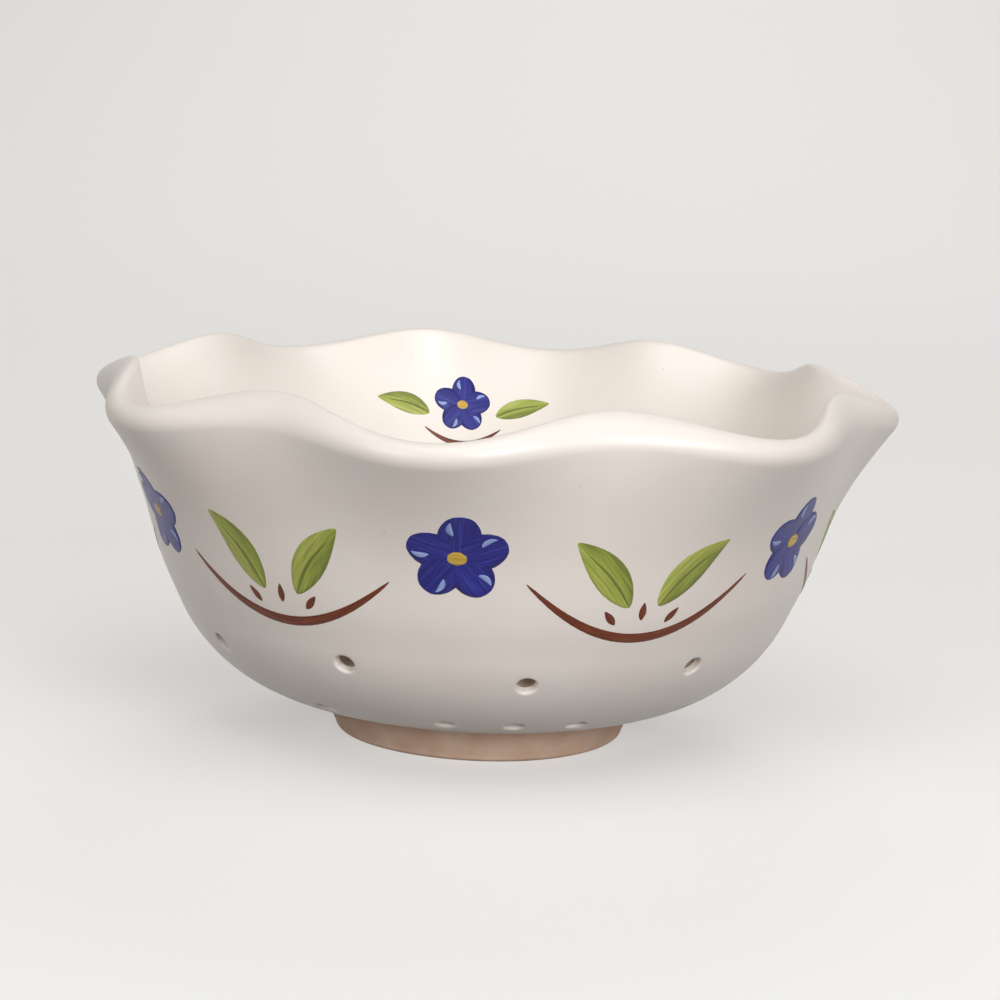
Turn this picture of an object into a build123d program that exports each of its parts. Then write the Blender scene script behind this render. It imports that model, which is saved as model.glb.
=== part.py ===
from build123d import *

import os
from math import cos, radians, sin

# Berry colander bowl: a ruffled stoneware bowl on a bare clay foot ring, with two rows of
# drain holes and a painted garland. Millimetres and degrees, +Z up, origin at the centre of
# the plane that the foot stands on. Azimuth 0 faces -Y and grows towards +X.

# Foot ring
foot_height = 9.5
foot_bottom_radius = 36.8
foot_top_radius = 40.0
foot_width = 7.3
foot_bevel = 1.0

# Wall: radius and height of the outside at mid-wave, from the foot up to the lip
belly_radius = 77.5
belly_height = 34.0
flank_radius = 80.9
flank_height = 41.5
shoulder_radius = 87.1
shoulder_height = 59.3
wall_thickness = 7.3

# Lip at mid-wave: its widest radius, its top, how far it leans out and its broad outer round
lip_radius = 100.0
lip_height = 90.65
lip_lean = 28.0
lip_outer_round = 5.2

# Ruffle of the rim: how far each lobe leans out and dips, and between which heights it grows
lobe_count = 8
first_lobe = -7.45
ruffle_start = 39.0
ruffle_full = 87.0
ruffle_out = 2.65
ruffle_dip = 3.06

# Unevenness of a rim that was waved by hand: lobes that drift round the rim, once and twice
# a turn, and lobes that are deeper on one side
drift_once = 41.8
drift_once_from = 162.0
drift_twice = 9.7
drift_twice_from = 112.0
deeper_share = 0.12
deeper_side = -37.0

# Drain holes, bored by eye: an upper row that wanders up and down, and a lower row beside the
# foot with one odd hole between two others
drain_diameter = 5.5
upper_row_count = 11
upper_row_start = 8.3
upper_row_height = 29.3
upper_row_wander = 1.3
upper_row_waves = 5
lower_row_count = 12
lower_row_start = -7.3
lower_row_height = 14.8
odd_drain_azimuth = 8.25

# Painted garland round the outside: blossoms, with a swag and a pair of leaves between them
paint_thickness = 0.3
garland_count = 6
garland_start = 26.0
blossom_height = 60.0
petal_count = 5
petal_points = 4
petal_reach = 10.7
petal_swing = 1.7
swag_height = 40.0
swag_length = 56.0
swag_drop = 15.0
swag_stroke = 2.8
swag_steps = 6
leaf_height = 56.0
leaf_length = 23.0
leaf_width = 9.0
leaf_steps = 4
leaf_tilt = 52.0
leaf_spread = 7.6

# The small sprig inside the far wall, which stands just clear of the hollow wall
sprig_scale = 0.7
sprig_clearance = 0.1
sprig_azimuth = 185.5
sprig_height = 72.0
sprig_leaf_spread = 11.6
sprig_leaf_tilt = 20.0
sprig_stem_length = 22.0
sprig_stem_drop = 5.0
sprig_stem_stroke = 1.6
sprig_stem_fall = 11.0

# Profile of the wall
lip_inner_round = wall_thickness - lip_outer_round
floor_height = foot_height + wall_thickness
lean = Vector(sin(radians(lip_lean)), 0, cos(radians(lip_lean)))
round_gap = lip_outer_round - lip_inner_round
lip_top = Vector(0, 0, lip_height - lip_inner_round)
outer_middle = Vector(lip_radius - lip_outer_round, 0, lip_top.Z - round_gap * lean.Z)
inner_middle = outer_middle + lean * round_gap
offset_stations = (0.7, 0.45, 0.22)


def on_round(middle, radius, angle):
    """A point on a round of the lip, in radius and height: 0 faces out of the wall, 90 up it."""
    turn = radians(angle - lip_lean)
    return middle.X + radius * cos(turn), middle.Z + radius * sin(turn)


def flat(vector):
    """The radius and height of a vector in the profile's plane."""
    return vector.X, vector.Z


def inward(line, share):
    """The point that lies one wall thickness inside the outside profile."""
    point = line @ share
    along = line % share
    return point.X - wall_thickness * along.Z, point.Z + wall_thickness * along.X


with BuildLine(Plane.XZ) as profile:
    underside = TangentArc(
        (foot_top_radius, foot_height), (belly_radius, belly_height), tangent=(1, 0)
    )
    outside = Spline(
        (belly_radius, belly_height),
        (flank_radius, flank_height),
        (shoulder_radius, shoulder_height),
        on_round(outer_middle, lip_outer_round, 0),
        tangents=(flat(underside % 1), flat(lean)),
    )
    outer_round = ThreePointArc(*[on_round(outer_middle, lip_outer_round, turn) for turn in (0, 45, 90)])
    inner_round = ThreePointArc(*[on_round(inner_middle, lip_inner_round, turn) for turn in (90, 135, 180)])
    inside = Spline(
        on_round(inner_middle, lip_inner_round, 180),
        *[inward(outside, share) for share in offset_stations],
        inward(outside, 0),
        tangents=(flat(lean * -1), flat(underside % 1 * -1)),
    )
    floor_side = TangentArc((foot_top_radius, floor_height), inward(outside, 0), tangent=(1, 0))


# Rings round the bowl
ring_points = 4 * lobe_count
seam_azimuth = 65.1
underside_bands = 7
outside_bands = 7
outer_round_bands = 3
inner_round_bands = 2
inside_bands = 6
floor_bands = 6


def around(azimuth, radius, height):
    """A point at an azimuth, a radius and a height."""
    turn = radians(azimuth)
    return Vector(radius * sin(turn), -radius * cos(turn), height)


def wave(azimuth):
    """The ruffle at an azimuth: +1 where a lobe leans out and dips, -1 where the rim lifts."""
    drift = drift_once * sin(radians(azimuth - drift_once_from))
    drift += drift_twice * sin(radians(2 * (azimuth - drift_twice_from)))
    depth = 1 + deeper_share * cos(radians(azimuth - deeper_side))
    return depth * cos(radians(lobe_count * (azimuth - first_lobe) + drift))


def on_wall(azimuth, point):
    """A point of the profile, carried round to an azimuth and moved by the ruffle there."""
    share = max(0.0, (point.Z - ruffle_start) / (ruffle_full - ruffle_start)) ** 2
    shift = share * wave(azimuth)
    return around(azimuth, point.X + ruffle_out * shift, point.Z - ruffle_dip * shift)


def ring(point):
    """The closed ring that a point of the profile makes round the bowl."""
    azimuths = [seam_azimuth + 360 * step / ring_points for step in range(ring_points)]
    with BuildLine() as line:
        Spline([on_wall(azimuth, point) for azimuth in azimuths], periodic=True)
    return line.wire()


def rings(line, count):
    return [ring(line @ (step / count)) for step in range(count + 1)]


def flat_under(skin):
    """The flat face across the lowest ring of a skin."""
    lowest = skin.edges().filter_by(lambda edge: edge.is_closed).sort_by(Axis.Z)[0]
    return Face(Wire([lowest]))


# The wall as one closed skin: underside, waved outside, the lip with its two rounds, waved inside,
# floor, and the flats under and on the floor. Short straight bands do where nothing is painted.
underside_skin = Shell.make_loft(rings(underside, underside_bands), ruled=True)
outer_skin = Shell.make_loft(rings(outside, outside_bands))
lip_rings = rings(outer_round, outer_round_bands) + rings(inner_round, inner_round_bands)[1:]
lip_skin = Shell.make_loft(lip_rings, ruled=True)
inner_skin = Shell.make_loft(rings(inside, inside_bands))
floor_skin = Shell.make_loft(rings(floor_side, floor_bands), ruled=True)
skins = [underside_skin, outer_skin, lip_skin, inner_skin, floor_skin]
flats = [flat_under(underside_skin), flat_under(floor_skin)]
clay = Solid(Shell([face for skin in skins for face in skin.faces()] + flats))


def share_at(line, height):
    """How far along a profile line it passes a height."""
    rising = (line @ 1).Z > (line @ 0).Z
    low, high = 0.0, 1.0
    for _ in range(40):
        middle = (low + high) / 2
        if ((line @ middle).Z < height) == rising:
            low = middle
        else:
            high = middle
    return low


def wall_plane(line, azimuth, height):
    """The plane that lies on the wall at an azimuth and a height, facing away from the clay."""
    share = share_at(line, height)
    along = line % share
    away = around(azimuth, along.Z, -along.X)
    level = Vector(0, 0, 1).cross(away)
    return Plane(origin=on_wall(azimuth, line @ share), x_dir=level, z_dir=away)


# Bowl wall with its drain holes
drain_clear = 2.0
drain_depth = wall_thickness + 3 * drain_clear
drains = []
for step in range(upper_row_count):
    azimuth = upper_row_start + 360 * step / upper_row_count
    rise = -upper_row_wander * cos(radians(upper_row_waves * (azimuth - upper_row_start)))
    drains.append(wall_plane(underside, azimuth, upper_row_height + rise))
lower_row = [lower_row_start + 360 * step / lower_row_count for step in range(lower_row_count)]
lower_row.append(odd_drain_azimuth)
drains += [wall_plane(underside, azimuth, lower_row_height) for azimuth in lower_row]

with BuildPart() as bowl_wall:
    add(clay)
    with Locations(*[plane.offset(drain_clear) for plane in drains]):
        Hole(drain_diameter / 2, depth=drain_depth)

# Foot ring: turned, a little narrower at the bottom, with bevelled edges on the standing face
with BuildPart() as foot_ring:
    with BuildSketch(Plane.XZ):
        with BuildLine():
            Polyline(
                (foot_top_radius, foot_height),
                (foot_bottom_radius, 0),
                (foot_bottom_radius - foot_width, 0),
                (foot_bottom_radius - foot_width, foot_height),
                close=True,
            )
        make_face()
    revolve(axis=Axis.Z)
    standing_edges = foot_ring.edges().group_by(Axis.Z)[0]
    chamfer(standing_edges, length=foot_bevel)


# Outlines of the painted motifs, each drawn flat about its own middle
def outline_of(points):
    with BuildSketch() as outline:
        with BuildLine():
            Polyline(*points, close=True)
        make_face()
    return outline.sketch


def brush(length, drop, width, steps):
    """A brush stroke that hangs by a drop: widest in its middle, drawn out to a tip at each end."""
    below, above = [], []
    for step in range(steps + 1):
        along = 2 * step / steps - 1
        half = width / 2 * (1 - along**2)
        below.append((length / 2 * along, drop * along**2 - half))
        above.append((length / 2 * along, drop * along**2 + half))
    return outline_of(below + above[-2:0:-1])


def blossom():
    """Petals that run into each other round a middle, with one petal on top."""
    points = []
    for step in range(petal_count * petal_points):
        turn = 360 * step / (petal_count * petal_points)
        reach = petal_reach + petal_swing * cos(radians(petal_count * turn))
        points.append((-reach * sin(radians(turn)), reach * cos(radians(turn))))
    return outline_of(points)


def stamp(outline, plane, face):
    """The patch of a wall face that an outline covers when it is pressed on square to a plane."""
    cutter = extrude(plane * outline, amount=wall_thickness, both=True, mode=Mode.PRIVATE)
    return cutter.intersect(face).face()


# Painted colours outside
outer_face = outer_skin.face()
swag_shape = brush(swag_length, swag_drop, swag_stroke, swag_steps)
leaf_shape = brush(leaf_length, 0, leaf_width, leaf_steps)
swags = [garland_start + 360 * step / garland_count for step in range(garland_count)]
half_step = 180 / garland_count

with BuildPart() as vine_stems:
    for azimuth in swags:
        plane = wall_plane(outside, azimuth, swag_height)
        thicken(stamp(swag_shape, plane, outer_face), paint_thickness, normal_override=plane.z_dir)

with BuildPart() as blossoms:
    for azimuth in swags:
        plane = wall_plane(outside, azimuth + half_step, blossom_height)
        thicken(stamp(blossom(), plane, outer_face), paint_thickness, normal_override=plane.z_dir)

with BuildPart() as leaves:
    for azimuth in swags:
        for side in (-1, 1):
            plane = wall_plane(outside, azimuth + side * leaf_spread, leaf_height)
            tilted = Rot(0, 0, side * leaf_tilt) * leaf_shape
            thicken(stamp(tilted, plane, outer_face), paint_thickness, normal_override=plane.z_dir)

# Painted colours of the sprig inside
inner_face = inner_skin.face()
sprig_blossom = scale(blossom(), by=sprig_scale)
sprig_leaf = scale(leaf_shape, by=sprig_scale)
sprig_stem = brush(sprig_stem_length, sprig_stem_drop, sprig_stem_stroke, swag_steps)


def lifted(outline, plane):
    """The patch that an outline covers on the inside, moved just clear of the hollow wall."""
    return Pos(plane.z_dir * sprig_clearance) * stamp(outline, plane, inner_face)


with BuildPart() as inside_blossom:
    plane = wall_plane(inside, sprig_azimuth, sprig_height)
    thicken(lifted(sprig_blossom, plane), paint_thickness, normal_override=plane.z_dir)

with BuildPart() as inside_leaves:
    for side in (-1, 1):
        plane = wall_plane(inside, sprig_azimuth - side * sprig_leaf_spread, sprig_height)
        tilted = Rot(0, 0, side * sprig_leaf_tilt) * sprig_leaf
        thicken(lifted(tilted, plane), paint_thickness, normal_override=plane.z_dir)

with BuildPart() as inside_stem:
    plane = wall_plane(inside, sprig_azimuth, sprig_height - sprig_stem_fall)
    thicken(lifted(sprig_stem, plane), paint_thickness, normal_override=plane.z_dir)

# One file for each piece
pieces = {
    "bowl_wall": bowl_wall,
    "foot_ring": foot_ring,
    "vine_stems": vine_stems,
    "blossoms": blossoms,
    "leaves": leaves,
    "inside_blossom": inside_blossom,
    "inside_leaves": inside_leaves,
    "inside_stem": inside_stem,
}
os.makedirs("parts", exist_ok=True)
for name, piece in pieces.items():
    piece.part.label = name
    export_step(piece.part, f"parts/{name}.step")
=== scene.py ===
# %% [markdown]
# # A berry colander bowl
# This lesson dresses the CAD model of a hand-made colander bowl: a ruffled wall under an ivory glaze, a
# foot ring of bare clay, drain holes with soft edges and a brushed-on garland. Each step first says
# what the piece is on the real bowl, how it could be made, and why this way was chosen.

# %% [markdown]
# ## The fixed frame
# The CAD model is loaded as it stands, in metres.

from math import atan2, cos, degrees, hypot, pi, radians, sin, sqrt
from random import Random

import bmesh
import bpy
import numpy as np
from mathutils import Matrix, Vector


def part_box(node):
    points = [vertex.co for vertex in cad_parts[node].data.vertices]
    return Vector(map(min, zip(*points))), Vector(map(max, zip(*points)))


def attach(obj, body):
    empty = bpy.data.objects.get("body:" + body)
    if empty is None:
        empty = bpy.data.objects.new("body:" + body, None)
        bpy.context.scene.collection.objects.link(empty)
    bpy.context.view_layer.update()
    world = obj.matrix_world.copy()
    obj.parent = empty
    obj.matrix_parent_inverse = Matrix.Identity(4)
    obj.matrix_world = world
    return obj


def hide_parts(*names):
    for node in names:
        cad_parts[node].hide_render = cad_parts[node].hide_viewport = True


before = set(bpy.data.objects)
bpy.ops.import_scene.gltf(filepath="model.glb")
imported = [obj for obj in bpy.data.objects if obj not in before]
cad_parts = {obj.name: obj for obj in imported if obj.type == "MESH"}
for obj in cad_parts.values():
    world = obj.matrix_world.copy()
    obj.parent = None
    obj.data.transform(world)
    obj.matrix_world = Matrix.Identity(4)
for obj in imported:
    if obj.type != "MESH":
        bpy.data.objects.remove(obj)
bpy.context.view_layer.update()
print("nodes:", sorted(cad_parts))

# %% [markdown]
# ## The camera
# A studio camera with a longish lens looks slightly down at the bowl. Its distance, height, lens and
# small roll were found by matching the rim, both sides and the foot, so they are written here as
# plain sizes. The matrix is built from the three axes, because that makes the roll easy to read.

# %% Place the camera
MM = 0.001
camera_distance = 660.9
camera_elevation = radians(9.3)
camera_roll = radians(2.2)
aim_height = 58.9
image_width = 1000
focal_pixels = 2595.5
picture_shift = 13

forward = Vector((0, cos(camera_elevation), -sin(camera_elevation)))
upward = Vector((0, sin(camera_elevation), cos(camera_elevation)))
sideways = Vector((1, 0, 0))
camera_x = sideways * cos(camera_roll) + upward * sin(camera_roll)
camera_y = upward * cos(camera_roll) - sideways * sin(camera_roll)
axes = Matrix((camera_x, camera_y, -forward)).transposed().to_4x4()
place = Vector((0, 0, aim_height)) - forward * camera_distance

camera_data = bpy.data.cameras.new("camera")
camera_data.sensor_width = 36.0
camera_data.lens = camera_data.sensor_width * focal_pixels / image_width
camera_data.shift_x = picture_shift / image_width
camera = bpy.data.objects.new("camera", camera_data)
camera.matrix_world = Matrix.Translation(place * MM) @ axes
bpy.context.scene.collection.objects.link(camera)
bpy.context.scene.camera = camera
print("lens", round(camera_data.lens, 1), "mm, camera at", [round(v, 3) for v in place * MM])

# %% [markdown]
# ## The profile of the wall
# The wall was thrown on a wheel, so half of it is one line in radius and height: up the outside from
# the foot, over the lip with its broad outer and small inner round, and down the inside to the floor.
# The same few sizes as in the CAD model give that line here, in millimetres. A cubic curve through
# points is solved by hand below, because it passes exactly through them and leaves and arrives in a
# set direction, and arcs join on to it.

# %% A smooth curve through points
def smooth_curve(points, first, last):
    """A curve through points of radius and height, and its length; first and last are directions."""
    points = np.array(points, float)
    gaps = np.linalg.norm(np.diff(points, axis=0), axis=1)
    knots = np.concatenate([[0], np.cumsum(gaps)])
    rows = np.eye(len(points))
    known = np.array([first, *points[1:-1], last], float)
    for i in range(1, len(points) - 1):
        before, after = gaps[i - 1], gaps[i]
        rows[i, i - 1 : i + 2] = after, 2 * (before + after), before
        rise = (points[i] - points[i - 1]) * after / before
        known[i] = 3 * (rise + (points[i + 1] - points[i]) * before / after)
    slopes = np.linalg.solve(rows, known)

    def at(length):
        i = int(np.clip(np.searchsorted(knots, length) - 1, 0, len(gaps) - 1))
        gap = gaps[i]
        t = (length - knots[i]) / gap
        point = points[i] * (1 + 2 * t) * (1 - t) ** 2 + points[i + 1] * t * t * (3 - 2 * t)
        return point + gap * t * (1 - t) * (slopes[i] * (1 - t) - slopes[i + 1] * t)

    return at, knots[-1]


straight = [(0, 0), (1, 0), (2, 0)]
print("a curve through points in a line is", smooth_curve(straight, (1, 0), (1, 0))[1], "long")

# %% The sizes of the profile
foot_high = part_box("foot_ring")[1]
foot_height = foot_high.z / MM
foot_top_radius = foot_high.x / MM
belly = np.array([77.5, 34.0])
body_points = [(80.9, 41.5), (87.1, 59.3)]
wall_thickness = 7.3
lip_radius = 100.0
lip_height = 90.65
lip_lean = radians(28)
outer_round = 5.2
inner_round = wall_thickness - outer_round

run, rise = belly - (foot_top_radius, foot_height)
belly_turn = 2 * atan2(rise, run)
belly_round = (run**2 + rise**2) / (2 * rise)
floor_round = belly_round - wall_thickness
belly_middle = np.array([foot_top_radius, foot_height + belly_round])
belly_slope = np.array([cos(belly_turn), sin(belly_turn)])
lean = np.array([sin(lip_lean), cos(lip_lean)])
lip_top = lip_height - inner_round
outer_middle = np.array([lip_radius - outer_round, lip_top - (outer_round - inner_round) * lean[1]])
inner_middle = outer_middle + (outer_round - inner_round) * lean
print("belly arc of", round(belly_round, 1), "mm over", round(degrees(belly_turn), 1), "degrees")

# %% The parts of the profile line
quarter = pi / 2
hollow_shares = (0.7, 0.45, 0.22)
slope_step = 0.1


def on_circle(middle, radius, angle):
    """A point on a circle, by its angle."""
    return middle + radius * np.array([cos(angle), sin(angle)])


def arc(middle, radius, start, turn):
    """The length of an arc, and what gives its point at a length from the start angle."""
    way = 1 if turn > 0 else -1
    return radius * abs(turn), lambda length: on_circle(middle, radius, start + way * length / radius)


def inward(share):
    """The point one wall thickness inside the outside line, by share from the belly to the lip."""
    length = share * body_length
    along = body(length + slope_step) - body(length - slope_step)
    along /= np.linalg.norm(along)
    return body(length) + wall_thickness * np.array([-along[1], along[0]])


lip_start = on_circle(outer_middle, outer_round, -lip_lean)
body, body_length = smooth_curve([belly, *body_points, lip_start], belly_slope, lean)
lip_end = on_circle(inner_middle, inner_round, pi - lip_lean)
inner_belly = on_circle(belly_middle, floor_round, belly_turn - quarter)
hollow_points = [lip_end, *[inward(share) for share in hollow_shares], inner_belly]
hollow, hollow_length = smooth_curve(hollow_points, -lean, -belly_slope)
print("body", round(body_length, 1), "mm, hollow", round(hollow_length, 1), "mm")

# %% The whole profile line
lines = [
    arc(belly_middle, belly_round, -quarter, belly_turn),
    (body_length, body),
    arc(outer_middle, outer_round, -lip_lean, quarter),
    arc(inner_middle, inner_round, quarter - lip_lean, quarter),
    (hollow_length, hollow),
    arc(belly_middle, floor_round, belly_turn - quarter, -belly_turn),
]
outside_length = lines[0][0] + lines[1][0]
lip_length = lines[2][0] + lines[3][0]
inside_length = lines[4][0] + lines[5][0]
inside_start = outside_length + lip_length
profile_length = inside_start + inside_length


def profile(length):
    """Radius and height at a length along the whole line, from the foot over the lip to the floor."""
    for line_length, line in lines:
        if length < line_length:
            return line(max(length, 0.0))
        length -= line_length
    return line(line_length)


print("outside", round(outside_length, 1), "mm, inside", round(inside_length, 1), "mm")

# %% [markdown]
# ## The ruffle
# While the clay was soft, the potter pushed the rim out in eight lobes, so each lobe leans out and
# dips, and the rim lifts and draws in between them. No two are quite alike: the lobes drift round the
# rim and are deeper on one side. One wave, which grows from the middle of the wall to the lip, gives
# all of it. It bends the last two centimetres a little more than the CAD model does, by 3 mm at most,
# because that is where the folds catch light and shade.

# %% Wave the wall
lobe_count = 8
first_lobe = -7.45
slow_drift = 41.8
slow_drift_start = 162
quick_drift = 9.7
quick_drift_start = 112
deeper_by = 0.12
deepest_at = -37
ruffle_start = 45.0
ruffle_power = 2.5
ruffle_full = 87.0
ruffle_out = 4.0
ruffle_in = 0.9
ruffle_dip = 2.55
near_by = 0.2


def wave(azimuth):
    """The ruffle at an azimuth in degrees: +1 where a lobe leans out, -1 where the rim lifts."""
    drift = slow_drift * sin(radians(azimuth - slow_drift_start))
    drift += quick_drift * sin(radians(2 * (azimuth - quick_drift_start)))
    depth = 1 + deeper_by * cos(radians(azimuth - deepest_at))
    return depth * cos(radians(lobe_count * (azimuth - first_lobe) + drift))


def skin(azimuth, length):
    """A point of the wall's skin, in millimetres. Azimuth 0 faces the camera and grows to the right."""
    radius, height = profile(length)
    share = max(0.0, (height - ruffle_start) / (ruffle_full - ruffle_start)) ** ruffle_power
    shift = share * wave(azimuth)
    radius += ruffle_out * shift - ruffle_in * share
    turn = radians(azimuth)
    return Vector((radius * sin(turn), -radius * cos(turn), height - ruffle_dip * shift))


def away(azimuth, length):
    """The direction that points out of the clay at a point of the skin."""
    level = skin(azimuth + near_by, length) - skin(azimuth - near_by, length)
    upright = skin(azimuth, length + near_by) - skin(azimuth, length - near_by)
    return level.cross(upright).normalized()


rim = [skin(azimuth, outside_length + lip_length / 2).z for azimuth in range(360)]
print("rim from", round(min(rim), 1), "to", round(max(rim), 1), "mm high")

# %% [markdown]
# ## The wall and its drain holes
# Glaze flows over the edge of a drain hole and rounds it, so a hole cut with a Boolean would look too
# sharp. Here the wall is a grid, round the bowl and along the profile. Round each hole a square patch
# of cells is left out, and rings lead from the patch to a circle, over a soft edge and through the
# clay to the same kind of patch inside. Glaze lines the first 2 mm of the hole from either side.

# %% The grid of the wall
column_count = 300
outside_rows = 78
lip_rows = 18
inside_rows = 68
column_step = 360 / column_count

row_lengths = [outside_length * i / outside_rows for i in range(outside_rows)]
row_lengths += [outside_length + lip_length * i / lip_rows for i in range(lip_rows)]
row_lengths += [inside_start + inside_length * i / inside_rows for i in range(inside_rows + 1)]
wall_points = [skin(c * column_step, length) for length in row_lengths for c in range(column_count)]


def grid_vertex(row, column):
    """The number of the grid's vertex in a row and column; the columns go on round the bowl."""
    return row * column_count + column % column_count


print("wall grid:", len(row_lengths), "rows of", column_count)

# %% The places of the drain holes
upper_count = 11
upper_start = 8.3
upper_height = 29.3
upper_wander = 1.3
wander_count = 5
upper_drains = []
for i in range(upper_count):
    azimuth = upper_start + 360 * i / upper_count
    wander = upper_wander * cos(radians(wander_count * (azimuth - upper_start)))
    upper_drains.append((azimuth, upper_height - wander))
lower_count = 12
lower_start = -7.3
lower_height = 14.8
lower_drains = [(lower_start + 360 * i / lower_count, lower_height) for i in range(lower_count)]
odd_drain = (8.25, lower_height)
print("upper row of", upper_count, "holes, lower row of", lower_count, "and one more")

# %% Both ends of each hole
halvings = 40
search_steps = 400


def length_at(height, low, high):
    """Where the profile passes a height, between two lengths."""
    for _ in range(halvings):
        middle = (low + high) / 2
        if (profile(middle)[1] < height) == (profile(low)[1] < profile(high)[1]):
            low = middle
        else:
            high = middle
    return low


def length_behind(azimuth, length):
    """Where a line straight into the clay comes out on the inside, below the lip."""
    start = skin(azimuth, length)
    into = -away(azimuth, length)
    first = inside_start + inside_length / 4
    steps = [first + (profile_length - first) * i / search_steps for i in range(search_steps + 1)]
    return min(steps, key=lambda other: (skin(azimuth, other) - start).cross(into).length)


drains = []
for azimuth, height in [*upper_drains, *lower_drains, odd_drain]:
    length = length_at(height, 0, outside_length)
    drains.append((azimuth, length, length_behind(azimuth, length)))
print(len(drains), "drain holes")

# %% Rings from the grid to a hole
drain_radius = 2.35
drain_soft = 0.7
drain_lining = 2.0
patch_reach = 5
collar_rings = 4
soft_rings = 6
left_out = set()


def patch_loop(row, column, up):
    """The grid's vertices round a patch, from its lower left corner and round by the right."""
    left, right = column - patch_reach, column + patch_reach
    low, high = row - up * patch_reach, row + up * patch_reach
    loop = [(low, c) for c in range(left, right)]
    loop += [(r, right) for r in range(low, high, up)]
    loop += [(high, c) for c in range(right, left, -1)]
    loop += [(r, left) for r in range(high, low, -up)]
    for r in range(min(low, high), max(low, high)):
        left_out.update((r, c % column_count) for c in range(left, right))
    return loop


def hole_rings(azimuth, length, up, axis):
    """Rings of vertices from the grid to the edge of a hole's tube, on one side of the wall."""
    row = min(range(len(row_lengths)), key=lambda r: abs(row_lengths[r] - length))
    column = round(azimuth / column_step)
    loop = patch_loop(row, column, up)
    radius = profile(length)[0]
    places = []
    for r, c in loop:
        across = radians(c * column_step - azimuth) * radius
        upward = up * (row_lengths[r] - length)
        places.append((atan2(upward, across), hypot(across, upward)))
    soft_radius = drain_radius + drain_soft
    stages = [(i / collar_rings, soft_radius, 0) for i in range(1, collar_rings + 1)]
    for i in range(1, soft_rings + 1):
        turn = quarter * i / soft_rings
        stages.append((1, soft_radius - drain_soft * sin(turn), drain_soft * (1 - cos(turn))))
    stages.append((1, drain_radius, drain_lining))
    rings = [[grid_vertex(r, c) for r, c in loop]]
    for share, edge, depth in stages:
        ring = []
        for turn, reach in places:
            out = reach + (edge - reach) * share
            aside = azimuth + degrees(out * cos(turn) / radius)
            point = skin(aside, length + up * out * sin(turn)) - depth * axis
            ring.append(len(wall_points))
            wall_points.append(point)
        rings.append(ring)
    return rings


print("a hole's rings have", 8 * patch_reach, "vertices each")

# %% Faces of the wall
def bridge(first, second):
    """Quads between two rings of as many vertices."""
    count = len(first)
    return [(first[i], first[(i + 1) % count], second[(i + 1) % count], second[i]) for i in range(count)]


wall_faces = []
tube_faces = []
for azimuth, length, behind in drains:
    axis = away(azimuth, length)
    outer = hole_rings(azimuth, length, 1, axis)
    inner = hole_rings(azimuth, behind, -1, -axis)
    for side in (outer, inner):
        for first, second in zip(side, side[1:]):
            wall_faces += bridge(first, second)
    # The faces through the middle of the hole take the brown that is partly painted shade.
    tube_faces += bridge(outer[-1], inner[-1])

for row in range(len(row_lengths) - 1):
    for column in range(column_count):
        if (row, column) not in left_out:
            low = grid_vertex(row, column), grid_vertex(row, column + 1)
            high = grid_vertex(row + 1, column + 1), grid_vertex(row + 1, column)
            wall_faces.append((*low, *high))
print(len(wall_faces), "faces on the skin")

# %% Close the floor and the underside
disc_rings = 6


def close_disc(row):
    """Rings and a middle point that close the grid's first or last row with a flat disc."""
    ring = [grid_vertex(row, column) for column in range(column_count)]
    edge = [wall_points[vertex] for vertex in ring]
    for i in range(disc_rings - 1, 0, -1):
        smaller = list(range(len(wall_points), len(wall_points) + column_count))
        wall_points.extend(Vector((p.x * i / disc_rings, p.y * i / disc_rings, p.z)) for p in edge)
        wall_faces.extend(bridge(ring, smaller))
        ring = smaller
    wall_points.append(Vector((0, 0, edge[0].z)))
    middle = len(wall_points) - 1
    wall_faces.extend((ring[c], ring[(c + 1) % column_count], middle) for c in range(column_count))


close_disc(len(row_lengths) - 1)
glazed_count = len(wall_faces)
wall_faces += tube_faces
tube_end = len(wall_faces)
close_disc(0)
print(len(wall_points), "points in the wall")

# %% [markdown]
# ## From lists to a piece
# Every piece below ends the same way: points in millimetres and faces become a mesh in metres, its
# normals are turned outwards, it is shaded smooth and it rides on the bowl's only body.

# %% Make a piece
def make_piece(name, points, faces, materials, replaced=()):
    """A piece from points in millimetres, with its finishes and the nodes it stands for."""
    mesh = bpy.data.meshes.new(name)
    mesh.from_pydata([point * MM for point in points], [], faces)
    shell = bmesh.new()
    shell.from_mesh(mesh)
    bmesh.ops.recalc_face_normals(shell, faces=shell.faces)
    shell.to_mesh(mesh)
    shell.free()
    mesh.shade_smooth()
    for material in materials:
        mesh.materials.append(material)
    piece = bpy.data.objects.new(name, mesh)
    bpy.context.scene.collection.objects.link(piece)
    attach(piece, "root")
    if replaced:
        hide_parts(*replaced)
    print(name, len(mesh.vertices), "vertices,", len(mesh.polygons), "faces")
    return piece


# %% [markdown]
# ## Tools for the finishes
# Colours are written as sRGB hex values, as a colour picker shows them, and one function turns them to
# the linear values that a shader works in. One more function adds a node, sets its values and links
# its inputs, so that each finish below reads as a short list.

# %% Colour and node functions
def linear(hex_colour):
    """An sRGB hex colour as linear red, green, blue and alpha."""
    channels = [int(hex_colour[i : i + 2], 16) / 255 for i in (1, 3, 5)]
    return [c / 12.92 if c <= 0.04045 else ((c + 0.055) / 1.055) ** 2.4 for c in channels] + [1.0]


def add_node(tree, kind, links=None, values=None, **settings):
    """A node with its settings, its inputs' values, and links from other nodes' outputs."""
    node = tree.nodes.new(kind)
    for name, value in settings.items():
        setattr(node, name, value)
    for name, value in (values or {}).items():
        node.inputs[name].default_value = value
    for name, output in (links or {}).items():
        tree.links.new(output, node.inputs[name])
    return node


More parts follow.
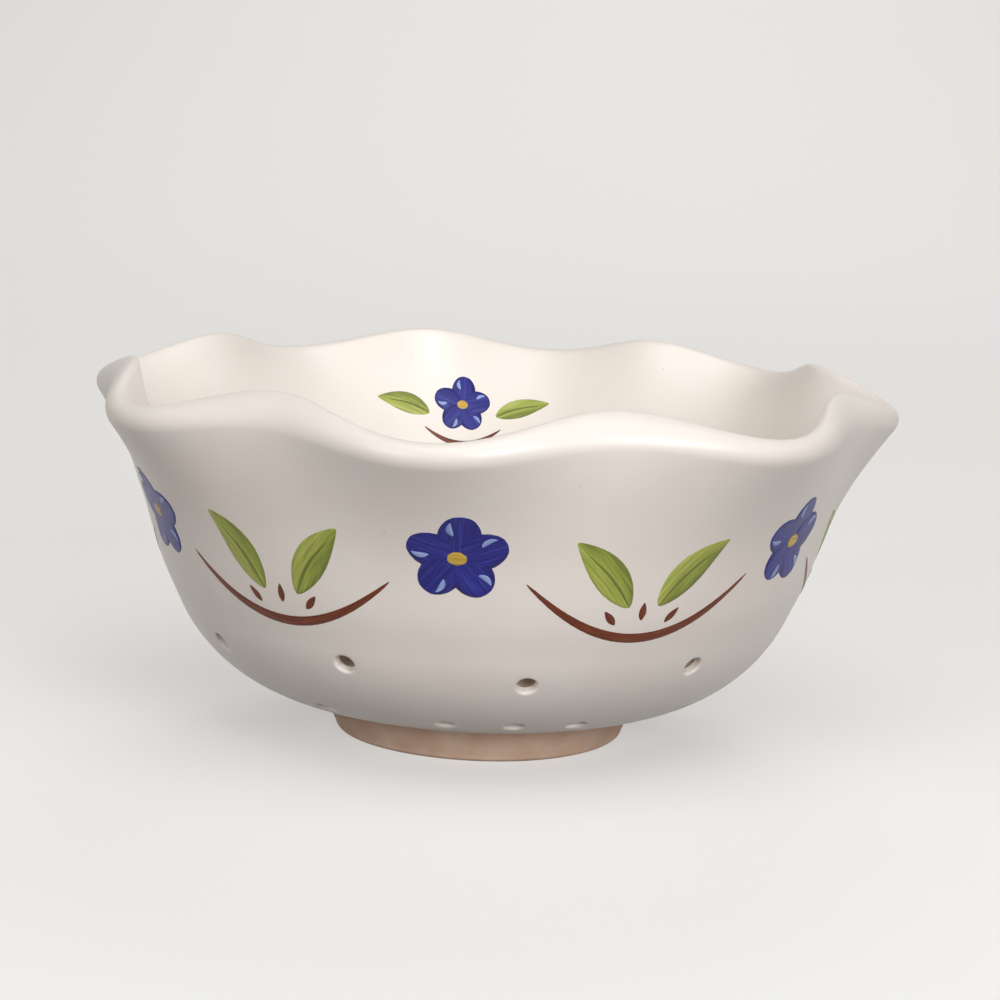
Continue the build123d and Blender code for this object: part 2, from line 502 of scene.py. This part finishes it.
def new_material(name):
    """An empty node material with its output node."""
    material = bpy.data.materials.new(name)
    material.use_nodes = True
    material.node_tree.nodes.clear()
    output = material.node_tree.nodes.new("ShaderNodeOutputMaterial")
    return material, material.node_tree, output


def grains(millimetres):
    """The scale of a noise texture on metre coordinates whose grains are about this size."""
    return 1 / (millimetres * MM)


print("sRGB #808080 is", round(linear("#808080")[0], 3), "linear, 5 mm grains are scale", grains(5))

# %% [markdown]
# ## Ivory glaze
# The wall is stoneware, dipped in an opaque tin-white glaze and fired until it melts to glass. The eye
# sees a warm white with a soft gloss, slightly uneven in tone where the glaze is thicker, and a surface
# that ripples a little like orange peel. A few fine specks of iron have come up from the clay.

# %% Ivory glaze finish
glaze, tree, output = new_material("ivory tin glaze on stoneware")
where = add_node(tree, "ShaderNodeTexCoord").outputs["Object"]
cloud_size = 28
ripple_size = 7
ripple_depth = 0.15
speck_spacing = 9
speck_size = 0.35
speck_core = 0.4
speck_strength = 0.3
clouds = add_node(tree, "ShaderNodeTexNoise", {"Vector": where}, {"Scale": grains(cloud_size), "Detail": 3.0})
tone = add_node(tree, "ShaderNodeValToRGB", {"Fac": clouds.outputs["Fac"]})
tone.color_ramp.elements[0].position = 0.3
tone.color_ramp.elements[0].color = linear("#F1EAE2")
tone.color_ramp.elements[1].position = 0.7
tone.color_ramp.elements[1].color = linear("#F6F0EA")
dots = add_node(tree, "ShaderNodeTexVoronoi", {"Vector": where}, {"Scale": grains(speck_spacing)})
speck_edge = speck_size / speck_spacing
speck = add_node(
    tree,
    "ShaderNodeMapRange",
    {"Value": dots.outputs["Distance"]},
    {"From Min": speck_edge * speck_core, "From Max": speck_edge, "To Min": speck_strength, "To Max": 0.0},
)
colour = add_node(
    tree,
    "ShaderNodeMix",
    {"Factor": speck.outputs["Result"], "A": tone.outputs["Color"]},
    data_type="RGBA",
)
colour.inputs["B"].default_value = linear("#A88B70")
ripple = add_node(
    tree,
    "ShaderNodeTexNoise",
    {"Vector": where},
    {"Scale": grains(ripple_size), "Detail": 1.0},
)
relief = add_node(
    tree,
    "ShaderNodeBump",
    {"Height": ripple.outputs["Fac"]},
    {"Strength": 0.25, "Distance": ripple_depth * MM},
)
shine = add_node(
    tree,
    "ShaderNodeBsdfPrincipled",
    {"Base Color": colour.outputs["Result"], "Normal": relief.outputs["Normal"]},
    {"Roughness": 0.4, "IOR": 1.5, "Coat Weight": 0.25, "Coat Roughness": 0.25},
)
tree.links.new(shine.outputs["BSDF"], output.inputs["Surface"])
print("finish:", glaze.name)

# %% [markdown]
# ## Bare stoneware
# The foot was wiped clean before firing, so that it would not stick to the kiln shelf. Bare stoneware is
# dry and matt, pinkish tan and a little cloudy in tone, with a fine sandy grain. Where the glaze stops
# there is a pale, uneven line.

# %% Bare stoneware finish
clay, tree, output = new_material("bare stoneware, turned")
where = add_node(tree, "ShaderNodeTexCoord").outputs["Object"]
cloud_size = 9
# Real grit is about 0.3 mm, too fine to show here, so it is drawn twice as coarse.
grit_size = 0.6
grit_depth = 0.12
glaze_line = foot_height - 1.4
glaze_fade = 0.5
glaze_wobble = 1.6
clouds = add_node(tree, "ShaderNodeTexNoise", {"Vector": where}, {"Scale": grains(cloud_size), "Detail": 4.0})
tone = add_node(tree, "ShaderNodeValToRGB", {"Fac": clouds.outputs["Fac"]})
tone.color_ramp.elements[0].position = 0.3
tone.color_ramp.elements[0].color = linear("#D3AE95")
tone.color_ramp.elements[1].position = 0.72
tone.color_ramp.elements[1].color = linear("#E6C9B3")
grit = add_node(tree, "ShaderNodeTexNoise", {"Vector": where}, {"Scale": grains(grit_size), "Detail": 3.0})
relief = add_node(
    tree,
    "ShaderNodeBump",
    {"Height": grit.outputs["Fac"]},
    {"Strength": 0.5, "Distance": grit_depth * MM},
)
height = add_node(tree, "ShaderNodeSeparateXYZ", {"Vector": where}).outputs["Z"]
uneven = add_node(
    tree,
    "ShaderNodeMath",
    {0: clouds.outputs["Fac"], 2: height},
    {1: glaze_wobble * MM},
    operation="MULTIPLY_ADD",
)
glaze_edge = glaze_line + glaze_wobble / 2
glazed = add_node(
    tree,
    "ShaderNodeMapRange",
    {"Value": uneven.outputs["Value"]},
    {"From Min": (glaze_edge - glaze_fade) * MM, "From Max": glaze_edge * MM},
)
colour = add_node(
    tree,
    "ShaderNodeMix",
    {"Factor": glazed.outputs["Result"], "A": tone.outputs["Color"]},
    data_type="RGBA",
)
colour.inputs["B"].default_value = linear("#DCD2C8")
gloss = add_node(
    tree,
    "ShaderNodeMapRange",
    {"Value": glazed.outputs["Result"]},
    {"To Min": 0.85, "To Max": 0.35},
)
shine = add_node(
    tree,
    "ShaderNodeBsdfPrincipled",
    {
        "Base Color": colour.outputs["Result"],
        "Roughness": gloss.outputs["Result"],
        "Normal": relief.outputs["Normal"],
    },
    {"IOR": 1.5},
)
tree.links.new(shine.outputs["BSDF"], output.inputs["Surface"])
print("finish:", clay.name)

# %% [markdown]
# ## Thin glaze and painted shade in the holes
# Deep inside a narrow hole the glaze runs thin and the clay shows through it. The dull brown here stands
# for that thin glaze and also for painted shade, which makes the hole look deep. So little of it shows that
# one tone is enough.

# %% Thin glaze and painted shade finish
thin_glaze_and_painted_shade, tree, output = new_material("thin glaze and painted shade in the drain holes")
# The brown is partly thin glaze and partly painted shade in the middle of each hole.
shine = add_node(
    tree,
    "ShaderNodeBsdfPrincipled",
    None,
    {"Base Color": linear("#A8937F"), "Roughness": 0.4, "IOR": 1.5},
)
tree.links.new(shine.outputs["BSDF"], output.inputs["Surface"])
print("finish:", thin_glaze_and_painted_shade.name)

# %% [markdown]
# ## The finished wall
# The wall is one piece of clay, so it stays one mesh with three finishes: glaze on the skin, thin glaze
# with painted shade in the holes and bare clay under the bowl. The faces were listed in that order, so a
# face's number says which finish it has.

# %% Put the wall together
finishes = [glaze, thin_glaze_and_painted_shade, clay]
wall = make_piece("glazed_wall", wall_points, wall_faces, finishes, ["bowl_wall"])
# The faces in the holes get the brown that is partly painted shade.
for polygon in wall.data.polygons[glazed_count:]:
    polygon.material_index = 1 if polygon.index < tube_end else 2
print("faces in the holes:", tube_end - glazed_count, "and under the bowl:", len(wall_faces) - tube_end)

# %% [markdown]
# ## The foot ring
# The foot was turned from leather-hard clay: a short ring, a little narrower at the bottom, with its
# edges rubbed round by a damp sponge. A line turned round the axis makes it, with arcs for the soft
# edges and a slight unevenness that a hand leaves.

# %% The line of the foot
foot_bottom_radius = 36.8
foot_width = 7.3
foot_flare = 1.3
foot_round = 1.3
foot_sink = 0.4
corner_steps = 6


def soft_corner(radius, height, start):
    """Points of a quarter circle round a centre, from an angle in degrees and downwards."""
    turns = [radians(start - 90 * i / corner_steps) for i in range(corner_steps + 1)]
    return [(radius + foot_round * cos(turn), height + foot_round * sin(turn)) for turn in turns]


inner_radius = foot_bottom_radius - foot_width
flare = foot_top_radius - foot_bottom_radius
foot_line = [(foot_top_radius, foot_height + foot_sink)]
foot_line += [
    (foot_bottom_radius + flare * share**foot_flare, foot_height * share)
    for share in (1.0, 0.85, 0.7, 0.55, 0.4, 0.25)
]
foot_line += soft_corner(foot_bottom_radius - foot_round, foot_round, 0)
foot_line += soft_corner(inner_radius + foot_round, foot_round, -90)
foot_line += [(inner_radius, foot_height * share) for share in (0.4, 0.7, 1.0)]
foot_line += [(inner_radius, foot_height + foot_sink)]
print("foot line of", len(foot_line), "points")

# %% Turn the foot ring
foot_columns = 160
# Three and five waves round the ring, too slight to see one by one.
slow_uneven = 0.12
quick_uneven = 0.07
foot_points = []
for radius, height in foot_line:
    for column in range(foot_columns):
        turn = 2 * pi * column / foot_columns
        uneven = slow_uneven * sin(3 * turn + 0.6) + quick_uneven * sin(5 * turn + height / 3)
        out = radius + uneven
        foot_points.append(Vector((out * sin(turn), -out * cos(turn), height)))

foot_rings = [list(range(i * foot_columns, (i + 1) * foot_columns)) for i in range(len(foot_line))]
foot_faces = []
for first, second in zip(foot_rings, foot_rings[1:] + foot_rings[:1]):
    foot_faces += bridge(first, second)
make_piece("bare_foot", foot_points, foot_faces, [clay], ["foot_ring"])

# %% [markdown]
# ## Brush strokes
# The garland was painted with a soft round brush and clear colours, then fired. Each dab is one press
# or pull of the brush: it has a spine, a width that swells and tapers, and bristle marks along it. So a
# stroke is a strip of quads laid on the wall, a little domed, with its edge just inside the glaze.
# Two attributes carry where each point lies in its stroke, for the colours: in shares and in mm.

# %% The strip of a stroke
stroke_steps = 28
stroke_lanes = 8
lane_points = stroke_lanes + 1
layer_points = (stroke_steps + 1) * lane_points


def strip_faces(start):
    """The quads of a stroke's top and back and the border between them, from its first vertex."""

    def vertex(layer, i, j):
        return start + layer * layer_points + i * lane_points + j

    faces = []
    for i in range(stroke_steps):
        for j in range(stroke_lanes):
            for layer in (0, 1):
                near = vertex(layer, i, j), vertex(layer, i, j + 1)
                far = vertex(layer, i + 1, j + 1), vertex(layer, i + 1, j)
                faces.append((*near, *far))
    border = [(i, 0) for i in range(stroke_steps)]
    border += [(stroke_steps, j) for j in range(stroke_lanes)]
    border += [(i, stroke_lanes) for i in range(stroke_steps, 0, -1)]
    border += [(0, j) for j in range(stroke_lanes, 0, -1)]
    return faces + bridge([vertex(0, *b) for b in border], [vertex(1, *b) for b in border])


print("a stroke has", 2 * layer_points, "points and", len(strip_faces(0)), "faces")

# %% Strokes of one colour
spine_step = 0.01
edge_depth = 0.06
back_depth = 0.2
seed_spread = 40
weld_distance = 0.002


class Paint:
    """The points, faces and brush coordinates of the strokes of one colour."""

    def __init__(self):
        self.points = []
        self.faces = []
        self.shares = []
        self.sizes = []

    def stroke(self, spot, spine, width, lift, seed):
        """One stroke: a spine of x and y in mm and a half width, both by share of its length."""
        azimuth, length, up = spot
        radius = profile(length)[0]
        self.faces += strip_faces(len(self.points))
        walked = 0.0
        before = spine(0)
        for layer in (0, 1):
            for i in range(stroke_steps + 1):
                share = i / stroke_steps
                x, y = spine(share)
                walked += hypot(x - before[0], y - before[1])
                before = (x, y)
                ahead, behind = spine(min(share + spine_step, 1)), spine(max(share - spine_step, 0))
                along = Vector((ahead[0] - behind[0], ahead[1] - behind[1])).normalized()
                for j in range(lane_points):
                    side = 2 * j / stroke_lanes - 1
                    reach = side * width(share)
                    aside = azimuth + up * degrees((x - along.y * reach) / radius)
                    on = length + up * (y + along.x * reach)
                    edge = j in (0, stroke_lanes) or i in (0, stroke_steps)
                    dome = lift * sqrt(max(0.0, 1 - side**4))
                    rise = -back_depth if layer else -edge_depth if edge else dome
                    self.points.append(skin(aside, on) + rise * away(aside, on))
                    self.shares.append((share, side, seed))
                    self.sizes.append((walked, reach, seed_spread * seed))

    def piece(self, name, material, record_slot, replaced=()):
        """The finished piece, with its brush coordinates and its pointed tips welded."""
        done = make_piece(name, self.points, self.faces, [material], replaced)
        for label, rows in (("brush_share", self.shares), ("brush_mm", self.sizes)):
            attribute = done.data.attributes.new(label, "FLOAT_VECTOR", "POINT")
            attribute.data.foreach_set("vector", np.array(rows, np.float32).ravel())
        shell = bmesh.new()
        shell.from_mesh(done.data)
        bmesh.ops.remove_doubles(shell, verts=shell.verts, dist=weld_distance * MM)
        bmesh.ops.recalc_face_normals(shell, faces=shell.faces)
        shell.to_mesh(done.data)
        shell.free()


print("a stroke's back lies", back_depth, "mm inside the glaze")

# %% [markdown]
# ## Underglaze colours
# Underglaze is metal oxide in water: cobalt for blue, chrome with some yellow for the leaves, iron for
# brown. It soaks in, pools at the edge of a stroke and thins along the bristles, and the clear glaze
# above it shines as softly as the wall does. One function makes all of them, from three tones between
# deep and thin.

# %% Underglaze finishes
# Single bristles are about 0.1 mm wide, too fine to show here, so clumps of them are drawn.
bristle_width = 0.55
bristle_length = 9.0
pool_sharpness = 4.0
pool_depth = 0.3


def underglaze(name, deep, middle, thin, lit_side=0.0):
    """A brushed colour: streaks along the bristles, deeper edges, and a paler side if asked for."""
    material, tree, output = new_material(name)
    sizes = add_node(tree, "ShaderNodeAttribute", attribute_name="brush_mm").outputs["Vector"]
    shares = add_node(tree, "ShaderNodeAttribute", attribute_name="brush_share").outputs["Vector"]
    lanes = add_node(
        tree,
        "ShaderNodeMapping",
        {"Vector": sizes},
        {"Scale": (1 / bristle_length, 1 / bristle_width, 1.0)},
    )
    streaks = add_node(
        tree,
        "ShaderNodeTexNoise",
        {"Vector": lanes.outputs["Vector"]},
        {"Scale": 1.0, "Detail": 3.0, "Roughness": 0.6},
    )
    side = add_node(tree, "ShaderNodeSeparateXYZ", {"Vector": shares})
    pooled = add_node(
        tree,
        "ShaderNodeMath",
        {0: side.outputs["Y"]},
        {1: pool_sharpness},
        operation="POWER",
    )
    leaning = add_node(
        tree,
        "ShaderNodeMath",
        {0: side.outputs["Y"], 2: streaks.outputs["Fac"]},
        {1: lit_side},
        operation="MULTIPLY_ADD",
    )
    load = add_node(
        tree,
        "ShaderNodeMath",
        {0: pooled.outputs["Value"], 2: leaning.outputs["Value"]},
        {1: -pool_depth},
        operation="MULTIPLY_ADD",
    )
    tone = add_node(tree, "ShaderNodeValToRGB", {"Fac": load.outputs["Value"]})
    tone.color_ramp.elements[0].position = 0.22
    tone.color_ramp.elements[0].color = linear(deep)
    tone.color_ramp.elements[1].position = 0.82
    tone.color_ramp.elements[1].color = linear(thin)
    tone.color_ramp.elements.new(0.5).color = linear(middle)
    shine = add_node(
        tree,
        "ShaderNodeBsdfPrincipled",
        {"Base Color": tone.outputs["Color"]},
        {"Roughness": 0.35, "IOR": 1.5, "Specular IOR Level": 0.3},
    )
    tree.links.new(shine.outputs["BSDF"], output.inputs["Surface"])
    print("finish:", name)
    return material


cobalt = underglaze("cobalt blue underglaze", "#1B1B5E", "#2A2A86", "#4B52B4")
pale_cobalt = underglaze("thin cobalt underglaze", "#6F86C8", "#93A8DC", "#C4D0EE")
leaf_green = underglaze("chrome green underglaze", "#76803A", "#A0AC4C", "#C3CA74", lit_side=0.22)
olive = underglaze("olive underglaze", "#5D6530", "#727A3A", "#8B9248")
iron_brown = underglaze("iron brown underglaze", "#54220F", "#70341C", "#935233")
ochre = underglaze("yellow ochre underglaze", "#B08A2C", "#D0AE4A", "#E6CE7C")

# %% [markdown]
# ## The garland outside
# Six blossoms stand round the belly, with a hanging swag and a pair of leaves between each two. The
# places follow the CAD model's painted pieces. Small random changes, from a fixed seed, make each dab a
# little different, as a painter's are.

# %% Places and spines of the dabs
def spot_outside(azimuth, height):
    """A place on the outside skin: its azimuth, its length along the profile and which way is up."""
    return azimuth, length_at(height, 0, outside_length), 1


def spot_inside(azimuth, height):
    """A place on the inside skin, where the profile runs downwards."""
    return azimuth, length_at(height, inside_start, profile_length), -1


def ray(angle, near, far, bend=0.0):
    """A spine that runs out from the spot at an angle in degrees, bent sideways in its middle."""
    turn = radians(angle)

    def at(share):
        out = near + (far - near) * share
        side = bend * sin(pi * share)
        return out * cos(turn) - side * sin(turn), out * sin(turn) + side * cos(turn)

    return at


def hanging(width, drop, lowest):
    """A spine that hangs between two ends and passes a little above the spot."""
    return lambda share: (width * (share - 0.5), drop * (2 * share - 1) ** 2 + lowest)


print("40 mm up the outside is", round(spot_outside(0, 40.0)[1], 1), "mm along the profile")

# %% Widths of the dabs
round_end = 2.2
leaf_swell = 0.85
swag_swell = 0.6


def teardrop(half_width, fullest):
    """A half width that swells from a point to a round end."""

    def at(share):
        off_middle = abs(2 * share ** (0.5 / fullest) - 1)
        return half_width * sqrt(max(0.0, 1 - off_middle**round_end))

    return at


def leaf_shape(half_width):
    """A half width that swells from a point and draws out to a longer point."""
    return lambda share: half_width * max(0.0, sin(pi * share**leaf_swell)) ** leaf_swell


def swag_shape(half_width):
    """A half width that swells quickly from both ends."""
    return lambda share: half_width * sin(pi * share) ** swag_swell


print("half way along, a leaf has", round(leaf_shape(1.0)(0.5), 3), "of its full width")

# %% Paint a blossom
hand = Random(7)
paint_lift = 0.1
petal_count = 5
blossom_sway = 7
petal_sway = 4
petal_start = 1.2
petal_reach = (11.4, 12.3)
petal_width = 5.3
petal_fullest = 0.64
petal_lift_step = 0.02
touch_turn = 12
touch_start = 6.4
touch_end = 10.4
touch_bend = 0.6
touch_width = 0.85
touch_lift = 0.24
middle_reach = 2.3
middle_width = 2.1
middle_fullest = 0.5
middle_lift = 0.26


def paint_blossom(petals, lights, middles, spot, size):
    """Five petals, each with a pale touch near its end, and a dab in the middle."""
    turn = hand.uniform(-blossom_sway, blossom_sway)
    for i in range(petal_count):
        angle = 90 + 360 / petal_count * i + turn + hand.uniform(-petal_sway, petal_sway)
        petal = ray(angle, petal_start * size, size * hand.uniform(*petal_reach))
        seed = hand.random()
        lift = paint_lift + petal_lift_step * i
        petals.stroke(spot, petal, teardrop(petal_width * size, petal_fullest), lift, seed)
        touch = ray(angle + touch_turn, touch_start * size, touch_end * size, touch_bend * size)
        lights.stroke(spot, touch, leaf_shape(touch_width * size), touch_lift, seed)
    middle = ray(turn, -middle_reach * size, middle_reach * size)
    dab = teardrop(middle_width * size, middle_fullest)
    middles.stroke(spot, middle, dab, middle_lift, hand.random())


print("a blossom is up to", 2 * petal_reach[1], "mm across")

# %% Sizes of the garland
garland_count = 6
garland_start = 26.0
half_step = 180 / garland_count
blossom_height = 60.0
swag_height = 39.0
swag_length = 56
swag_drop = (14.4, 15.6)
swag_lowest = 1.2
swag_width = 1.45
dash_height = 40.5
dash_aside = 2.6
dash_turn = 38
dash_start = 4.4
dash_end = 9.2
dash_width = 1.0
leaf_height = 56.0
leaf_aside = 7.6
leaf_turn = 38
leaf_sway = 5
leaf_bend = (0.6, 1.5)
leaf_reach = 11.5
leaf_width = 4.6
vein_end = 7.0
vein_width = 0.42
vein_lift = 0.2
print(garland_count, "blossoms, one every", 360 / garland_count, "degrees")

# %% Paint the garland
blue, light_blue, yellow = Paint(), Paint(), Paint()
green, veins, brown = Paint(), Paint(), Paint()
for i in range(garland_count):
    azimuth = garland_start + 360 * i / garland_count
    paint_blossom(blue, light_blue, yellow, spot_outside(azimuth + half_step, blossom_height), 1.0)

    swag = hanging(swag_length, hand.uniform(*swag_drop), swag_lowest)
    spot = spot_outside(azimuth, swag_height)
    brown.stroke(spot, swag, swag_shape(swag_width), paint_lift, hand.random())
    for side in (-1, 0, 1):
        dash = ray(90 - dash_turn * side, dash_start, dash_end)
        spot = spot_outside(azimuth + dash_aside * side, dash_height)
        brown.stroke(spot, dash, leaf_shape(dash_width), paint_lift, hand.random())

    for side in (-1, 1):
        spot = spot_outside(azimuth + side * leaf_aside, leaf_height)
        tilt = 90 - side * leaf_turn + hand.uniform(-leaf_sway, leaf_sway)
        bend = side * hand.uniform(*leaf_bend)
        seed = hand.random()
        green.stroke(spot, ray(tilt, -leaf_reach, leaf_reach, bend), leaf_shape(leaf_width), paint_lift, seed)
        veins.stroke(spot, ray(tilt, -leaf_reach, vein_end, bend), leaf_shape(vein_width), vein_lift, seed)
print("garland points: blue", len(blue.points), "green", len(green.points), "brown", len(brown.points))

# %% [markdown]
# ## The sprig inside
# A smaller blossom with two leaves and a short stem is painted inside the far wall. It is made by the
# same strokes, on the inside skin.

# %% Sizes of the sprig
sprig_azimuth = 185.5
sprig_height = 72.0
sprig_size = 0.7
sprig_leaf_aside = 11.6
sprig_leaf_turn = 70
sprig_leaf_bend = 0.7
sprig_leaf_reach = 8
sprig_leaf_width = 3.2
sprig_vein_end = 5
sprig_vein_width = 0.34
stem_height = 61.0
stem_length = 22
stem_drop = 5
stem_lowest = 0.8
stem_width = 0.85
print("sprig at", sprig_azimuth, "degrees,", sprig_height, "mm high")

# %% Paint the sprig
sprig_blue, sprig_light, sprig_yellow = Paint(), Paint(), Paint()
sprig_green, sprig_veins, sprig_brown = Paint(), Paint(), Paint()
blossom_spot = spot_inside(sprig_azimuth, sprig_height)
paint_blossom(sprig_blue, sprig_light, sprig_yellow, blossom_spot, sprig_size)
for side in (-1, 1):
    spot = spot_inside(sprig_azimuth - side * sprig_leaf_aside, sprig_height)
    tilt = 90 - side * sprig_leaf_turn
    bend = side * sprig_leaf_bend
    seed = hand.random()
    leaf = ray(tilt, -sprig_leaf_reach, sprig_leaf_reach, bend)
    sprig_green.stroke(spot, leaf, leaf_shape(sprig_leaf_width), paint_lift, seed)
    vein = ray(tilt, -sprig_leaf_reach, sprig_vein_end, bend)
    sprig_veins.stroke(spot, vein, leaf_shape(sprig_vein_width), vein_lift, seed)
stem = hanging(stem_length, stem_drop, stem_lowest)
spot = spot_inside(sprig_azimuth, stem_height)
sprig_brown.stroke(spot, stem, swag_shape(stem_width), paint_lift, hand.random())
print("sprig points: blue", len(sprig_blue.points), "green", len(sprig_green.points))

# %% Finish the painted pieces
blue.piece("blossom_petals", cobalt, "cobalt_underglaze", ["blossoms"])
light_blue.piece("petal_lights", pale_cobalt, "cobalt_underglaze")
yellow.piece("blossom_middles", ochre, "green_underglaze")
green.piece("leaf_dabs", leaf_green, "green_underglaze", ["leaves"])
veins.piece("leaf_veins", olive, "green_underglaze")
brown.piece("swag_strokes", iron_brown, "brown_underglaze", ["vine_stems"])
sprig_blue.piece("sprig_petals", cobalt, "cobalt_underglaze", ["inside_blossom"])
sprig_light.piece("sprig_petal_lights", pale_cobalt, "cobalt_underglaze")
sprig_yellow.piece("sprig_middle", ochre, "green_underglaze")
sprig_green.piece("sprig_leaf_dabs", leaf_green, "green_underglaze", ["inside_leaves"])
sprig_veins.piece("sprig_leaf_veins", olive, "green_underglaze")
sprig_brown.piece("sprig_stem_stroke", iron_brown, "brown_underglaze", ["inside_stem"])

# %% [markdown]
# ## Floor and backdrop
# The bowl stands on a plain floor that sweeps up behind it without a corner, as a roll of studio paper
# does. It reaches far to the front and the sides, so that its end stays out of the other views too.

# %% Sweep the floor up
floor_half_width = 12.0
floor_front = -12.0
sweep_start = 1.4
sweep_radius = 1.0
sweep_steps = 16
backdrop_height = 3.0
sweep_line = [(floor_front, 0.0), (sweep_start, 0.0)]
for i in range(1, sweep_steps + 1):
    turn = quarter * i / sweep_steps
    sweep_line.append((sweep_start + sweep_radius * sin(turn), sweep_radius * (1 - cos(turn))))
sweep_line.append((sweep_start + sweep_radius, backdrop_height))
sweep_points = []
for y, z in sweep_line:
    sweep_points += [(-floor_half_width, y, z), (floor_half_width, y, z)]
sweep_faces = [(2 * i, 2 * i + 1, 2 * i + 3, 2 * i + 2) for i in range(len(sweep_line) - 1)]
floor_mesh = bpy.data.meshes.new("floor")
floor_mesh.from_pydata(sweep_points, [], sweep_faces)
floor_mesh.shade_smooth()
floor = bpy.data.objects.new("floor", floor_mesh)
bpy.context.scene.collection.objects.link(floor)
print("floor sweep:", len(sweep_faces), "faces")

# %% [markdown]
# ## Pale studio paper
# Studio paper is matt and even, so the eye sees one pale tone that only the shadow breaks. More light
# would whiten it, but would bleach the bowl as well, so the paper has a faint glow of its own instead.
# The Light Path node shows that glow to the camera and to reflections only. Light that bounces under
# the bowl meets a darker tone, and the shadow stays.

# %% Pale studio paper finish
paper_glow = 0.45
paper, tree, output = new_material("pale studio paper")
path = add_node(tree, "ShaderNodeLightPath")
mirrored = add_node(
    tree,
    "ShaderNodeMath",
    {0: path.outputs["Is Glossy Ray"], 1: path.outputs["Is Transmission Ray"]},
    operation="MAXIMUM",
)
seen = add_node(
    tree,
    "ShaderNodeMath",
    {0: path.outputs["Is Camera Ray"], 1: mirrored.outputs["Value"]},
    operation="MAXIMUM",
)
colour = add_node(
    tree,
    "ShaderNodeMix",
    {"Factor": seen.outputs["Value"]},
    data_type="RGBA",
)
colour.inputs["A"].default_value = linear("#4A3C34")
colour.inputs["B"].default_value = linear("#BDBCBA")
glow = add_node(
    tree,
    "ShaderNodeMath",
    {0: seen.outputs["Value"]},
    {1: paper_glow},
    operation="MULTIPLY",
)
matt = add_node(
    tree,
    "ShaderNodeBsdfPrincipled",
    {"Base Color": colour.outputs["Result"], "Emission Strength": glow.outputs["Value"]},
    {"Roughness": 0.9, "Specular IOR Level": 0.1, "Emission Color": linear("#FDFCFA")},
)
tree.links.new(matt.outputs["BSDF"], output.inputs["Surface"])
floor_mesh.materials.append(paper)
print("finish:", paper.name)

# %% [markdown]
# ## Light
# Four large lamps give plain soft light. A key lamp on the right draws out the folds, a fill on the left
# and a lamp overhead soften them, and one behind lights the far side. The one behind is kept out of
# reflections, because its own would draw thin white lines along the rims. A dim, warm world fills the
# rest.

# %% Lamps and world
bowl_middle = Vector((0, 0, 0.06))
world_strength = 0.27


def soft_lamp(name, watts, size, place):
    """A round area lamp, so wide in metres, at a place and turned towards the bowl."""
    data = bpy.data.lights.new(name, "AREA")
    data.energy = watts
    data.shape = "DISK"
    data.size = size
    lamp = bpy.data.objects.new(name, data)
    lamp.location = place
    lamp.rotation_euler = (bowl_middle - Vector(place)).to_track_quat("-Z", "Y").to_euler()
    bpy.context.scene.collection.objects.link(lamp)
    return lamp


soft_lamp("overhead", watts=4.6, size=1.1, place=(0.1, -0.55, 1.1))
soft_lamp("key", watts=9, size=0.6, place=(0.6, -1.15, 0.42))
soft_lamp("left_fill", watts=5, size=0.8, place=(-0.85, -1.05, 0.4))
back = soft_lamp("back", watts=13, size=1.2, place=(0.2, 1.9, 1.4))
back.visible_glossy = False

world = bpy.data.worlds.new("studio")
world.use_nodes = True
sky = world.node_tree.nodes["Background"]
sky.inputs["Color"].default_value = linear("#F8F0E9")
sky.inputs["Strength"].default_value = world_strength
bpy.context.scene.world = world
bpy.context.scene.view_settings.view_transform = "Standard"
